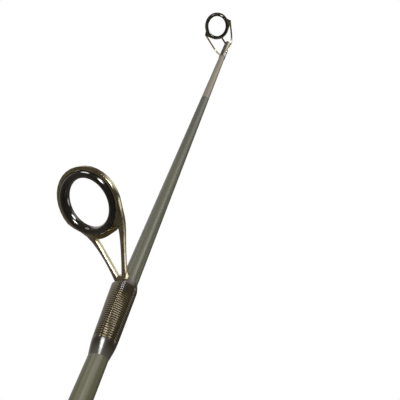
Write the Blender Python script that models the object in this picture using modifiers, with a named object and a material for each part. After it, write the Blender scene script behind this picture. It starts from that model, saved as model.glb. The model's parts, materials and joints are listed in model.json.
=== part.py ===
"""Two-piece carp rod, nine feet long, ready for a fixed-spool reel.

The rod lies along X with its tip at +X and its line rings hanging below it, towards -Z, as it is fished.
The origin is the middle of the flat bed on which the reel's foot sits, on the underside of the reel seat.
"""
import math

import bmesh
import bpy
from mathutils import Matrix, Vector

MM = 0.001

# Overall layout, along the rod
ROD_LENGTH = 2740.0 * MM
BUTT_TO_REEL = 420.0 * MM
TIP_SECTION_LENGTH = 1400.0 * MM
FERRULE_OVERLAP = 60.0 * MM

# Blank diameters, at the tip, at the top ring, at each side of the joint and at the butt
TIP_DIAMETER = 2.37 * MM
TOP_STRETCH = 141.5 * MM
TOP_STRETCH_DIAMETER = 2.88 * MM
TIP_BASE_DIAMETER = 9.0 * MM
BUTT_TOP_DIAMETER = 7.2 * MM
BUTT_DIAMETER = 12.6 * MM
TIP_WALL = 0.7 * MM
BUTT_WALL = 1.2 * MM

# Fits between glued, bound and sliding pieces
GLUE_GAP = 0.06 * MM
FIT_SPARE = 0.006 * MM
FERRULE_GAP = 0.1 * MM
SLIDING_GAP = 0.25 * MM
END_GAP = 0.3 * MM
FACE_GAP = 0.1 * MM

# Solid glass tip, spliced into the hollow blank
SPLICE_TO_TUBE = 45.2 * MM
SPIGOT_LENGTH = 24.0 * MM
SPIGOT_DIAMETER = 1.3 * MM

# Tip ring with its three legs and its tube
TIP_TUBE_LENGTH = 22.0 * MM
TIP_TUBE_DIAMETER = 2.75 * MM
TIP_TUBE_WALL = 0.22 * MM
TIP_TUBE_CAP = 1.1 * MM
TIP_TUBE_ROUNDING = ((0.0, 0.45), (0.25, 0.8), (0.6, 1.0))
TIP_RING_FORWARD = 18.0 * MM
TIP_RING_DROP = 9.75 * MM
TIP_RING_LEAN = math.radians(13.7)
TIP_HOLE_RADIUS = 4.06 * MM
TIP_RING_WALL = 1.0 * MM
TIP_RING_DEPTH = 1.9 * MM
TIP_RIM = 0.42 * MM
TIP_PLATE_DEPTH = 0.9 * MM
TIP_EAR_LENGTH = 1.25 * MM
TIP_EAR_DROP = 0.9 * MM
TIP_EAR_LOW = math.radians(-44.0)
TIP_EAR_HIGH = math.radians(6.0)
TIP_WIRE_RADIUS = 0.4 * MM
TIP_ARM_BEND = (12.2 * MM, 4.2 * MM, -2.0 * MM)
TIP_ARM_FOOT = 5.2 * MM
TIP_STRUT_FORWARD = 18.6 * MM

# Single-foot and double-foot line rings, counted from the tip
RING_TABLE = (
    {"name": "guide_1", "from_tip": 143.8 * MM, "hole": 4.1 * MM, "height": 13.45 * MM, "feet": 1},
    {"name": "guide_2", "from_tip": 345.0 * MM, "hole": 4.1 * MM, "height": 13.45 * MM, "feet": 1},
    {"name": "guide_3", "from_tip": 600.0 * MM, "hole": 5.7 * MM, "height": 17.5 * MM, "feet": 1},
    {"name": "guide_4", "from_tip": 950.0 * MM, "hole": 9.3 * MM, "height": 27.0 * MM, "feet": 2},
    {"name": "guide_5", "from_tip": 1520.0 * MM, "hole": 16.0 * MM, "height": 42.0 * MM, "feet": 2},
)
SINGLE_LEAN = math.radians(23.6)
DOUBLE_LEAN = math.radians(12.0)

# Sizes of the smallest ring, which the larger ones follow by the square root of their hole
RING_WALL = 1.25 * MM
RING_RIM = 0.57 * MM
RING_DEPTH = 1.9 * MM
FRAME_DEPTH = 0.85 * MM
LEG_WIDTH = 0.55 * MM
LEG_SPREAD = 1.1 * MM
RIM_SET = 1.0 * MM
HEEL_SET = 0.6 * MM
FOOT_LENGTH = 9.0 * MM
FOOT_THICKNESS = 0.6 * MM
FOOT_END_THICKNESS = 0.1 * MM
FOOT_HALF_WIDTH = 1.15 * MM
FOOT_END_HALF_WIDTH = 0.55 * MM
FOOT_TOE = 0.6 * MM
STRUT_RADIUS = 0.62 * MM

# Proportions of a stamped frame: where its legs leave the rim, how far they keep to that line, how its
# window clears the rim and narrows, and where its legs step off the ring's plane, as starts and spans in
# radii of the rim: down its sides, across them, and below the rim
SHOULDER_ANGLE = math.radians(30.0)
SHOULDER_REACH = 0.5
CROTCH_ANGLE = math.radians(62.5)
WINDOW_CLEAR = 1.03
WINDOW_FLARE = 3.2
WINDOW_BOW = 0.45
SHOULDER_SET = (0.3, 0.57)
SHOULDER_SIDE = (0.12, 0.33)
LEG_SET = (1.03, 0.05)
HEEL_CURVE = 1.3

# Proportions of a ring on two feet
FEET_SPAN = 1.25
STRUT_BOW = (0.08, 0.12)

# Thread whippings, bound in touching turns and set in resin
THREAD_PITCH = 0.34 * MM
THREAD_DEPTH = 0.26 * MM
TURN_RELIEF = 0.1 * MM
WHIPPING_OVERRUN = 1.1 * MM
PLAIN_WHIPPING_TURNS = 6
FERRULE_WHIPPING_LENGTH = 26.0 * MM

# Reel seat
SEAT_RADIUS = 9.25 * MM
SEAT_THREAD_RELIEF = 0.3 * MM
BED_CUT = 0.85 * MM
SEAT_WALL = 1.5 * MM
SEAT_REAR = 62.0 * MM
SEAT_FRONT = 79.0 * MM
SEAT_FLANGE = 0.9 * MM
SEAT_FLANGE_LENGTH = 5.0 * MM
THREAD_START = 26.0 * MM
ARBOR_LENGTH = 14.0 * MM
ARBOR_INSET = 6.0 * MM
HOOD_LENGTH = 24.0 * MM
HOOD_MOUTH = 25.0 * MM
HOOD_COLLAR_WALL = 1.5 * MM
HOOD_CHAMFER = 0.8 * MM
HOOD_SIDE_WALL = 1.7 * MM
HOOD_ROOF = 1.3 * MM
HOOD_ROUNDING = 2.6 * MM
POCKET_HEIGHT = 6.0 * MM
POCKET_HALF_WIDTH = 6.9 * MM
POCKET_DEPTH = 14.0 * MM
POCKET_ROUNDING = 1.2 * MM
LINER_THICKNESS = 1.0 * MM
LINER_INSET = 0.6 * MM
NUT_LENGTH = 16.0 * MM
NUT_WALL = 3.0 * MM
NUT_FLUTE_DEPTH = 0.55 * MM
NUT_FLUTES = 20

# Grips and trims
FOREGRIP_LENGTH = 72.0 * MM
FOREGRIP_REAR_RADIUS = 12.0 * MM
FOREGRIP_FRONT_RADIUS = 8.6 * MM
FOREGRIP_WAIST = 0.6 * MM
BUTT_GRIP_LENGTH = 118.0 * MM
BUTT_GRIP_REAR_RADIUS = 12.6 * MM
BUTT_GRIP_FRONT_RADIUS = 10.4 * MM
BUTT_GRIP_WAIST = 0.7 * MM
GRIP_ROUNDING = 1.5 * MM
BUTT_CAP_LENGTH = 22.0 * MM
BUTT_CAP_LIP = 1.0 * MM
BUTT_CAP_DISH = 4.0 * MM
BUTT_CAP_FLOOR = 5.0 * MM
CHECK_LENGTH = 7.0 * MM
COLLAR_LENGTH = 6.0 * MM
TRIM_STEP = 0.9 * MM
TRIM_LAND = 2.0 * MM
TRIM_WALL = 0.8 * MM

# Roundness of the turned pieces
FINE_SEGMENTS = 32
MEDIUM_SEGMENTS = 24
THIN_SEGMENTS = 16
GRIP_STATIONS = 6

# Places worked out from the sizes above
AXIS_Z = SEAT_RADIUS - BED_CUT
TIP_X = ROD_LENGTH - BUTT_TO_REEL
BUTT_X = -BUTT_TO_REEL
JOINT_X = TIP_X - TIP_SECTION_LENGTH
TUBE_X = TIP_X - TIP_TUBE_LENGTH
SPLICE_X = TUBE_X - SPLICE_TO_TUBE

PARTS = "carp_rod"
CUTTERS = "carp_rod_cutters"

COLOURS = {
    "ceramic": ((0.025, 0.025, 0.024), 0.12, 0.0),
    "gunmetal": ((0.16, 0.14, 0.10), 0.28, 0.9),
    "steel": ((0.55, 0.54, 0.50), 0.25, 1.0),
    "beige": ((0.36, 0.32, 0.25), 0.4, 0.0),
    "carbon": ((0.19, 0.2, 0.175), 0.35, 0.0),
    "thread": ((0.05, 0.042, 0.018), 0.2, 0.0),
    "seat": ((0.02, 0.02, 0.022), 0.4, 0.0),
    "liner": ((0.03, 0.03, 0.03), 0.6, 0.0),
    "foam": ((0.025, 0.025, 0.025), 0.85, 0.0),
    "rubber": ((0.03, 0.03, 0.03), 0.6, 0.0),
}


def clear_scene():
    """Removes every object of the open scene and makes the two collections."""
    for old in list(bpy.data.objects):
        bpy.data.objects.remove(old, do_unlink=True)
    for name in (PARTS, CUTTERS):
        bpy.context.scene.collection.children.link(bpy.data.collections.new(name))


def material(key):
    """One Principled material for each finish."""
    found = bpy.data.materials.get(key)
    if found:
        return found
    colour, roughness, metallic = COLOURS[key]
    made = bpy.data.materials.new(key)
    made.use_nodes = True
    shader = made.node_tree.nodes["Principled BSDF"]
    shader.inputs["Base Color"].default_value = (*colour, 1.0)
    shader.inputs["Roughness"].default_value = roughness
    shader.inputs["Metallic"].default_value = metallic
    return made


def link(obj, key=None):
    """Puts an object among the parts, or among the cutters where it has no finish."""
    bpy.data.collections[PARTS if key else CUTTERS].objects.link(obj)
    if key:
        obj.data.materials.append(material(key))
    else:
        obj.hide_render = True
        obj.display_type = "WIRE"
    return obj


def mesh_object(name, vertices, edges, faces, key=None):
    data = bpy.data.meshes.new(name)
    data.from_pydata(vertices, edges, faces)
    return link(bpy.data.objects.new(name, data), key)


def smooth(obj, angle=35.0):
    obj.data.shade_smooth()
    obj.data.set_sharp_from_angle(angle=math.radians(angle))
    return obj


def along_rod(obj, x):
    """Stands the object's own Z axis along the rod, with its origin on the rod's axis at x."""
    obj.location = (x, 0.0, AXIS_Z)
    obj.rotation_euler = (0.0, math.radians(90.0), 0.0)
    return obj


def turned(name, outer, inner, segments, key=None, x=0.0):
    """A piece turned about the rod's axis. Profiles are (x, radius) pairs, from the tip side to the butt
    side. Without an inner profile the piece is closed, and its outer profile has both ends on the axis."""
    profile = list(outer) + list(reversed(inner))
    vertices = [(radius, 0.0, place - x) for place, radius in profile]
    edges = [(i, i + 1) for i in range(len(vertices) - 1)]
    if inner:
        edges.append((len(vertices) - 1, 0))
    obj = mesh_object(name, vertices, edges, [], key)
    spin(obj, segments)
    return along_rod(obj, x)


def spin(obj, segments):
    screw = obj.modifiers.new("turn", "SCREW")
    screw.axis = "Z"
    screw.angle = 2.0 * math.pi
    screw.steps = segments
    screw.render_steps = segments
    screw.use_merge_vertices = True
    screw.merge_threshold = 0.001 * MM
    screw.use_smooth_shade = True
    return obj


def curve_mesh(name, data, key=None):
    """Makes a curve an ordinary closed mesh, with its caps welded."""
    raw = bpy.data.objects.new(name + "_curve", data)
    bpy.context.scene.collection.objects.link(raw)
    bpy.context.view_layer.update()
    evaluated = raw.evaluated_get(bpy.context.evaluated_depsgraph_get())
    made = bpy.data.meshes.new_from_object(evaluated)
    shape = bmesh.new()
    shape.from_mesh(made)
    bmesh.ops.remove_doubles(shape, verts=shape.verts, dist=0.001 * MM)
    bmesh.ops.recalc_face_normals(shape, faces=shape.faces)
    shape.to_mesh(made)
    shape.free()
    made.materials.clear()
    obj = bpy.data.objects.new(name, made)
    obj.matrix_world = raw.matrix_world
    bpy.data.objects.remove(raw, do_unlink=True)
    return link(obj, key)


def plate(name, loops, depth, key=None):
    """A flat plate in the object's XY plane from its outline and its holes, each a list of (u, v)."""
    data = bpy.data.curves.new(name, "CURVE")
    data.dimensions = "2D"
    data.fill_mode = "BOTH"
    data.extrude = depth / 2.0
    for loop in loops:
        spline = data.splines.new("POLY")
        spline.points.add(len(loop) - 1)
        for point, (u, v) in zip(spline.points, loop):
            point.co = (u, v, 0.0, 1.0)
        spline.use_cyclic_u = True
    return curve_mesh(name, data, key)


def wire(name, points, radius, key=None, resolution=1):
    """A round wire through a few chosen points."""
    data = bpy.data.curves.new(name, "CURVE")
    data.dimensions = "3D"
    data.bevel_depth = radius
    data.bevel_resolution = resolution
    data.use_fill_caps = True
    spline = data.splines.new("POLY")
    spline.points.add(len(points) - 1)
    for point, place in zip(spline.points, points):
        point.co = (*place, 1.0)
    return curve_mesh(name, data, key)


def smooth_route(points, count):
    """Points spaced along a Catmull-Rom curve through the given places."""
    route = [Vector(p) for p in points]
    ends = [2.0 * route[0] - route[1]] + route + [2.0 * route[-1] - route[-2]]
    places = []
    for i in range(1, len(ends) - 2):
        before, start, end, after = ends[i - 1:i + 3]
        for step in range(count):
            t = step / count
            places.append(0.5 * (2.0 * start + (end - before) * t
                                 + (2.0 * before - 5.0 * start + 4.0 * end - after) * t * t
                                 + (3.0 * start - before - 3.0 * end + after) * t * t * t))
    return places + [route[-1]]


def combine(obj, other, operation):
    """Joins another shape to an object, or cuts it away."""
    step = obj.modifiers.new(operation.lower(), "BOOLEAN")
    step.operation = operation
    step.solver = "EXACT"
    step.object = other
    return obj


def arc(radius, start, end, count):
    """Points on a circle about the origin, both ends included."""
    angles = [start + (end - start) * i / (count - 1) for i in range(count)]
    return [(radius * math.cos(a), radius * math.sin(a)) for a in angles]


def circle(radius, count):
    return arc(radius, 0.0, 2.0 * math.pi * (count - 1) / count, count)


def bow(start, control, end, count):
    """A quadratic curve between two points, both ends included."""
    points = []
    for i in range(count):
        t = i / (count - 1)
        shares = ((1.0 - t) ** 2, 2.0 * t * (1.0 - t), t * t)
        places = (start, control, end)
        points.append(tuple(sum(share * place[k] for share, place in zip(shares, places)) for k in (0, 1)))
    return points


def mirrored(points):
    """The same edge on the other side of the plate, walked the other way."""
    return [(-u, v) for u, v in reversed(points)]


def linear(x, x0, y0, x1, y1):
    return y0 + (y1 - y0) * (x - x0) / (x1 - x0)


def tip_radius(x):
    """Outer radius of the tip section's blank."""
    top_x = TIP_X - TOP_STRETCH
    if x > top_x:
        return linear(x, TIP_X, TIP_DIAMETER, top_x, TOP_STRETCH_DIAMETER) / 2.0
    return linear(x, top_x, TOP_STRETCH_DIAMETER, JOINT_X, TIP_BASE_DIAMETER) / 2.0


def butt_radius(x):
    """Outer radius of the butt section's blank, whose taper runs on into the joint."""
    return linear(x, JOINT_X, BUTT_TOP_DIAMETER, BUTT_X, BUTT_DIAMETER) / 2.0


def lean_matrix(lean):
    """Axes of a ring that hangs below the rod and leans towards the tip: u across, v from the rod to the
    ring, and the plate's own Z towards the butt."""
    across = Vector((0.0, 1.0, 0.0))
    down = Vector((math.sin(lean), 0.0, -math.cos(lean)))
    back = across.cross(down)
    return Matrix((across, down, back)).transposed()


def place_empty(name, x, drop):
    """The point on the rod from which a ring and its whippings are placed."""
    empty = bpy.data.objects.new(name, None)
    empty.empty_display_size = 5.0 * MM
    empty.location = (x, 0.0, AXIS_Z - drop)
    bpy.context.scene.collection.objects.link(empty)
    bpy.context.view_layer.update()
    return empty


def hang(obj, parent, offset, lean):
    obj.parent = parent
    obj.location = offset
    obj.rotation_euler = lean_matrix(lean).to_euler()
    return obj


def tip_blank():
    """Hollow blank of the tip section, with the socket of the joint at its base."""
    top_x = TIP_X - TOP_STRETCH
    socket_x = JOINT_X + FERRULE_OVERLAP + END_GAP
    outer = [(x, tip_radius(x)) for x in (SPLICE_X, top_x, JOINT_X)]
    bore_above = tip_radius(socket_x) - TIP_WALL - FERRULE_GAP
    bore_above = min(bore_above, butt_radius(socket_x) - FERRULE_GAP)
    spigot_x = SPLICE_X - SPIGOT_LENGTH - END_GAP
    spigot_bore = SPIGOT_DIAMETER / 2.0 + GLUE_GAP
    inner = [
        (SPLICE_X, spigot_bore),
        (spigot_x, spigot_bore),
        (socket_x + 4.0 * END_GAP, bore_above),
        (socket_x, butt_radius(socket_x) + FERRULE_GAP),
        (JOINT_X, butt_radius(JOINT_X) + FERRULE_GAP),
    ]
    return turned("tip_blank", outer, inner, THIN_SEGMENTS, "carbon")


def solid_tip():
    """Glass tip: a spigot in the hollow blank, the bare stretch and the end ground down for the tube."""
    ground = TIP_TUBE_DIAMETER / 2.0 - TIP_TUBE_WALL - GLUE_GAP
    end_x = TIP_X - TIP_TUBE_CAP - END_GAP
    outer = [
        (end_x, 0.0),
        (end_x, ground - GLUE_GAP),
        (TUBE_X - END_GAP, ground),
        (TUBE_X - END_GAP, tip_radius(TUBE_X)),
        (SPLICE_X + FACE_GAP, tip_radius(SPLICE_X)),
        (SPLICE_X + FACE_GAP, SPIGOT_DIAMETER / 2.0),
        (SPLICE_X - SPIGOT_LENGTH, SPIGOT_DIAMETER / 2.0),
        (SPLICE_X - SPIGOT_LENGTH, 0.0),
    ]
    return turned("solid_tip", outer, [], THIN_SEGMENTS, "beige")


def tip_tube():
    """Drawn tube over the tip's end, with a rounded closed top."""
    radius = TIP_TUBE_DIAMETER / 2.0
    bore = radius - TIP_TUBE_WALL
    cap_x = TIP_X - TIP_TUBE_CAP
    top = [(TIP_X - radius * back, radius * share) for back, share in TIP_TUBE_ROUNDING]
    outer = [(TIP_X, 0.0)] + top + [(TUBE_X, radius), (TUBE_X, bore), (cap_x, bore), (cap_x, 0.0)]
    return turned("tip_tube", outer, [], THIN_SEGMENTS, "steel")


def ring_profile(hole, wall, depth):
    """Section of a ceramic ring as (radius, height) pairs: an octagon whose flats touch the bore, the seat
    and both faces."""
    middle = hole + wall / 2.0
    eighth = math.pi / 4.0
    half_wall = 0.5 * wall / math.cos(eighth / 2.0)
    half_depth = 0.5 * depth / math.cos(eighth / 2.0)
    angles = [(0.5 - i) * eighth for i in range(8)]
    return [(middle + half_wall * math.cos(a), half_depth * math.sin(a)) for a in angles]


def ceramic_ring(name, hole, wall, depth, segments):
    profile = ring_profile(hole, wall, depth)
    vertices = [(radius, 0.0, height) for radius, height in profile]
    edges = [(i, (i + 1) % len(vertices)) for i in range(len(vertices))]
    return spin(mesh_object(name, vertices, edges, [], "ceramic"), segments)


def tip_ring():
    """Tip ring: ceramic ring, a rim with two ears, two arms and a strut that are brazed to the tube."""
    empty = place_empty("tip_ring_place", TUBE_X, 0.0)
    centre = Vector((TIP_RING_FORWARD, 0.0, -TIP_RING_DROP))
    ring = ceramic_ring("tip_ring", TIP_HOLE_RADIUS, TIP_RING_WALL, TIP_RING_DEPTH, MEDIUM_SEGMENTS)
    hang(ring, empty, centre, TIP_RING_LEAN)

    seat = TIP_HOLE_RADIUS + TIP_RING_WALL + GLUE_GAP
    rim = seat + TIP_RIM
    ear = (rim + TIP_EAR_LENGTH, -TIP_EAR_DROP)
    right_side = arc(rim, -math.pi / 2.0, TIP_EAR_LOW, 5)
    top = arc(rim, TIP_EAR_HIGH, math.pi - TIP_EAR_HIGH, 17)
    outline = right_side + [ear] + top + mirrored(right_side + [ear])[:-1]
    frame = plate("tip_frame", [outline, circle(seat, MEDIUM_SEGMENTS)], TIP_PLATE_DEPTH, "gunmetal")
    hang(frame, empty, centre, TIP_RING_LEAN)

    turn = lean_matrix(TIP_RING_LEAN)
    ear_place = centre + turn @ Vector((ear[0] - TIP_WIRE_RADIUS, ear[1], 0.0))
    side = TIP_TUBE_DIAMETER / 2.0
    for hand, sign in (("left", -1.0), ("right", 1.0)):
        route = [ear_place, Vector(TIP_ARM_BEND), Vector((TIP_ARM_FOOT, side, 0.0))]
        route = [Vector((p.x, sign * p.y, p.z)) for p in route]
        arm = wire("tip_arm_" + hand, smooth_route(route, 5), TIP_WIRE_RADIUS)
        arm.parent = empty
        combine(frame, arm, "UNION")
    root = centre + turn @ Vector((0.0, TIP_RIM / 2.0 - rim, 0.0))
    strut = wire("tip_strut", [root, Vector((TIP_STRUT_FORWARD, 0.0, 0.0))], TIP_WIRE_RADIUS)
    strut.parent = empty
    combine(frame, strut, "UNION")
    clearance = side + GLUE_GAP
    ends = (TIP_X + TIP_TUBE_LENGTH, TUBE_X - TIP_TUBE_LENGTH)
    room = [(ends[0], 0.0), (ends[0], clearance), (ends[1], clearance), (ends[1], 0.0)]
    combine(frame, turned("tip_tube_room", room, [], THIN_SEGMENTS), "DIFFERENCE")
    return frame


def frame_outline(rim, height, scale):
    """Outline and window of a stamped frame: a rim, and two legs that leave it on a tangent and draw
    together towards the foot. The ring's centre is at the origin and the foot at v = -height."""
    shoulder = (rim * math.cos(SHOULDER_ANGLE), -rim * math.sin(SHOULDER_ANGLE))
    clear = rim * WINDOW_CLEAR
    crotch = (clear * math.cos(CROTCH_ANGLE), -clear * math.sin(CROTCH_ANGLE))
    foot_out = (LEG_SPREAD * scale, -height)
    foot_in = ((LEG_SPREAD - LEG_WIDTH) * scale, -height + FOOT_THICKNESS * scale)
    along = SHOULDER_REACH * math.dist(shoulder, foot_out)
    tangent = (-math.sin(SHOULDER_ANGLE), -math.cos(SHOULDER_ANGLE))
    release = (shoulder[0] + along * tangent[0], shoulder[1] + along * tangent[1])
    waist = (foot_in[0] * WINDOW_FLARE, -rim - WINDOW_BOW * (height - rim))
    outer_edge = bow(foot_out, release, shoulder, 10)
    inner_edge = bow(foot_in, waist, crotch, 8)
    around = arc(rim, -SHOULDER_ANGLE, math.pi + SHOULDER_ANGLE, 23)
    outline = outer_edge[:-1] + around + mirrored(outer_edge)[1:]
    under_rim = arc(clear, -CROTCH_ANGLE, CROTCH_ANGLE - math.pi, 7)
    window = inner_edge[:-1] + under_rim + mirrored(inner_edge)[1:]
    return outline, window


def eased(value, start, span):
    """Goes smoothly from 0 to 1 over a span."""
    share = min(max((value - start) / span, 0.0), 1.0)
    return share * share * (3.0 - 2.0 * share)


def set_legs(frame, rim, height, scale):
    """Sets the legs of a flat stamped frame: they leave the rim on its tip side and cross to the butt side
    at the foot. The seat of the ceramic ring and the rim between the legs stay flat."""
    rim_set = RIM_SET * scale
    heel_set = HEEL_SET * scale
    for vertex in frame.data.vertices:
        u, v, depth = vertex.co
        if math.hypot(u, v) < rim - 0.5 * RING_RIM * scale:
            continue
        below, beside = -v / rim, abs(u) / rim
        shoulder = eased(below, *SHOULDER_SET) * eased(beside, *SHOULDER_SIDE)
        rise = max(shoulder, eased(below, *LEG_SET))
        reach = min(max((-v - rim) / (height - rim), 0.0), 1.0)
        to_tip = rim_set * rise - (rim_set + heel_set) * reach ** HEEL_CURVE
        vertex.co.z = depth - to_tip


def foot_sizes(scale):
    """Sizes of a ring's foot, which grow with the ring."""
    return {
        "length": FOOT_LENGTH * scale,
        "thick": FOOT_THICKNESS * scale,
        "end_thick": FOOT_END_THICKNESS * scale,
        "half": FOOT_HALF_WIDTH * scale,
        "end_half": FOOT_END_HALF_WIDTH * scale,
        "toe": FOOT_TOE * scale,
    }


def foot_shape(name, toward, foot, inner_drop, parent, start_x):
    """A foot that lies on the blank and thins to its end, as a box drawn in at its far end."""
    shape = bmesh.new()
    bmesh.ops.create_cube(shape, size=1.0)
    for corner in shape.verts:
        far = corner.co.x > 0.0
        half = foot["end_half"] if far else foot["half"]
        thick = foot["end_thick"] if far else foot["thick"]
        x = toward * foot["length"] if far else -toward * foot["toe"]
        top = corner.co.z > 0.0
        corner.co = (start_x + x, math.copysign(half, corner.co.y), -inner_drop - (0.0 if top else thick))
    bmesh.ops.recalc_face_normals(shape, faces=shape.faces)
    data = bpy.data.meshes.new(name)
    shape.to_mesh(data)
    shape.free()
    obj = link(bpy.data.objects.new(name, data))
    obj.parent = parent
    return obj


def foot_drop(blank_radius, x, toward, length):
    """Distance of a foot's inner face from the rod's axis, set by the thick end of the blank under it."""
    return max(blank_radius(x), blank_radius(x + toward * length)) + GLUE_GAP


def guide(spec):
    """One line ring: its ceramic ring, its stamped frame and the whippings that bind its feet."""
    name, hole, height, feet = spec["name"], spec["hole"], spec["height"], spec["feet"]
    foot_x = TIP_X - spec["from_tip"]
    on_tip = foot_x > JOINT_X
    blank_radius = tip_radius if on_tip else butt_radius
    sides = THIN_SEGMENTS if on_tip else MEDIUM_SEGMENTS
    scale = (hole / RING_TABLE[0]["hole"]) ** 0.5
    wall = RING_WALL * scale
    rim = hole + wall + GLUE_GAP + RING_RIM * scale
    lean = SINGLE_LEAN if feet == 1 else DOUBLE_LEAN
    segments = MEDIUM_SEGMENTS if feet == 1 else FINE_SEGMENTS
    front_way = -1.0 if feet == 1 else 1.0
    foot = foot_sizes(scale)
    drop = foot_drop(blank_radius, foot_x, front_way, foot["length"])
    empty = place_empty(name + "_place", foot_x, 0.0)
    turn = lean_matrix(lean)
    heel = turn @ Vector((0.0, 0.0, HEEL_SET * scale))
    start = Vector((0.0, 0.0, -drop - foot["thick"] / 2.0)) - heel
    centre = start + turn @ Vector((0.0, height, 0.0))

    ring = ceramic_ring(name + "_ring", hole, wall, RING_DEPTH * scale, segments)
    hang(ring, empty, centre, lean)
    outline, window = frame_outline(rim, height, scale)
    seat = circle(hole + wall + GLUE_GAP, segments)
    frame = plate(name + "_frame", [outline, window, seat], FRAME_DEPTH * scale, "gunmetal")
    set_legs(frame, rim, height, scale)
    hang(frame, empty, centre, lean)
    combine(frame, foot_shape(name + "_foot", front_way, foot, drop, empty, 0.0), "UNION")
    title = name + "_whipping" if feet == 1 else name + "_front_whipping"
    fine = name == RING_TABLE[0]["name"]
    leg_slope = (RIM_SET + HEEL_SET) * scale * HEEL_CURVE / (height - rim)
    leg_lean = lean + math.atan(leg_slope)
    leg_half_depth = 0.5 * FRAME_DEPTH * scale / math.cos(leg_lean)
    leg_half_depth += 0.5 * foot["thick"] * math.tan(leg_lean)
    whipping(title, foot_x, front_way, foot, drop, blank_radius, sides, leg_half_depth, fine)
    if feet == 1:
        return
    rear_x = foot_x - FEET_SPAN * height
    rear_drop = foot_drop(blank_radius, rear_x, -1.0, foot["length"])
    rear_start = rear_x - foot_x
    combine(frame, foot_shape(name + "_rear_foot", -1.0, foot, rear_drop, empty, rear_start), "UNION")
    crown = centre + turn @ Vector((0.0, 0.5 * RING_RIM * scale - rim, 0.0))
    toe = Vector((rear_start, 0.0, -rear_drop))
    middle = crown.lerp(toe, 0.5) + Vector((STRUT_BOW[0], 0.0, STRUT_BOW[1])) * height
    strut = wire(name + "_strut", smooth_route([crown, middle, toe], 4), STRUT_RADIUS * scale)
    strut.parent = empty
    combine(frame, strut, "UNION")
    ends = (foot_x + height, rear_x - height)
    room = [(x, blank_radius(x) + GLUE_GAP - FIT_SPARE) for x in ends]
    room = [(ends[0], 0.0)] + room + [(ends[1], 0.0)]
    combine(frame, turned(name + "_blank_room", room, [], sides), "DIFFERENCE")
    strut_half_depth = 2.0 * STRUT_RADIUS * scale
    title = name + "_rear_whipping"
    whipping(title, rear_x, -1.0, foot, rear_drop, blank_radius, sides, strut_half_depth, False)


def bound_radius(angle, blank, half_width, top):
    """Distance from the rod's axis to a thread drawn tight round the blank and a flat foot below it, at
    an angle from straight down. A half width of nothing is the bare blank."""
    if half_width <= 0.0 or top <= blank:
        return blank
    angle = abs(angle)
    corner = math.hypot(half_width, top)
    corner_angle = math.atan2(half_width, top)
    if angle <= corner_angle:
        return top / math.cos(angle)
    tangent = corner_angle + math.acos(blank / corner)
    if angle >= tangent:
        return blank
    return blank / math.cos(tangent - angle)


def whipping(name, foot_x, toward, foot, foot_inner, blank_radius, sides, leg_half_depth, fine):
    """Thread bound over a foot, from just behind the legs to just past the foot's end."""
    near = foot_x + toward * (leg_half_depth + END_GAP / 2.0)
    end = foot_x + toward * foot["length"]
    far = end + toward * WHIPPING_OVERRUN
    turns = round(abs(far - near) / THREAD_PITCH) if fine else PLAIN_WHIPPING_TURNS
    blank = max(blank_radius(near), blank_radius(far)) + GLUE_GAP

    def section(x):
        """Half width and height of the foot under the thread, which runs out past the foot's end."""
        share = min(max((x - foot_x) / (end - foot_x), 0.0), 1.0)
        past = min(max((x - end) / (far - end), 0.0), 1.0)
        half = foot["half"] + (foot["end_half"] - foot["half"]) * share
        thick = foot["thick"] + (foot["end_thick"] - foot["thick"]) * share
        return half + GLUE_GAP, foot_inner + thick * (1.0 - past) + GLUE_GAP

    def past_foot(x):
        return abs(x - foot_x) > foot["length"] + 2.0 * END_GAP

    def corner(x):
        half, top = section(x)
        return None if past_foot(x) else math.atan2(half, top)

    def outside(x, angle):
        half, top = section(x)
        return bound_radius(angle, blank, half, top)

    def inside(x, angle):
        half, top = section(end if abs(x - foot_x) > foot["length"] else x)
        return blank if past_foot(x) else bound_radius(angle, blank, half, top)

    bore_stations = (near, end + toward * END_GAP, end + toward * 3.0 * END_GAP, far)
    sleeve(name, near, far, turns, sides, corner, outside, inside, bore_stations)


def ferrule_whipping():
    """Thread bound round the socket of the joint to stop it splitting."""
    far = JOINT_X + END_GAP
    near = far + FERRULE_WHIPPING_LENGTH
    turns = PLAIN_WHIPPING_TURNS + 2

    def bare(x, angle):
        return tip_radius(far) + GLUE_GAP

    sleeve("ferrule_whipping", near, far, turns, THIN_SEGMENTS, None, bare, bare, (near, far))


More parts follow.
